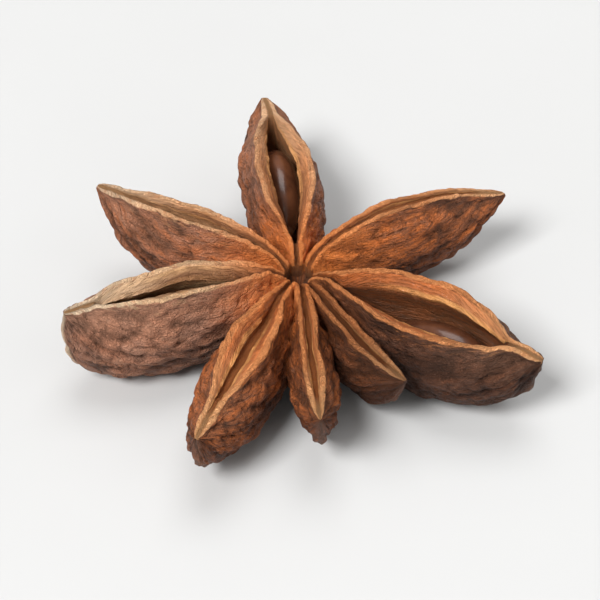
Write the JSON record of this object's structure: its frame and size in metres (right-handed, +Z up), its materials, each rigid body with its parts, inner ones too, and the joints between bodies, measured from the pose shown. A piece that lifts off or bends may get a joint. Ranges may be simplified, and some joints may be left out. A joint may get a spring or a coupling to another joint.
{
  "type": "star anise pod",
  "caption": "Whole dried star anise fruit: a star of boat-shaped carpels, split along the top, with loose seeds in the open ones.",
  "frame": {"origin": "under the middle of the fruit's outline, on the surface it rests on", "axes": "+Z up out of the split side of the carpels; +X towards the widest open carpel's side, -Y towards the undeveloped carpels"},
  "size_m": [0.0306, 0.0312, 0.0081],
  "materials": {
    "pericarp": "dry, wrinkled, matt brown outside; smooth, tan to orange on the lips and inner walls",
    "seed_coat": "hard, smooth and glossy dark brown"
  },
  "bodies": {
    "root": {"pod": "pericarp", "seed_east": "seed_coat", "seed_north": "seed_coat", "seed_west": "seed_coat"}
  },
  "joints": []
}
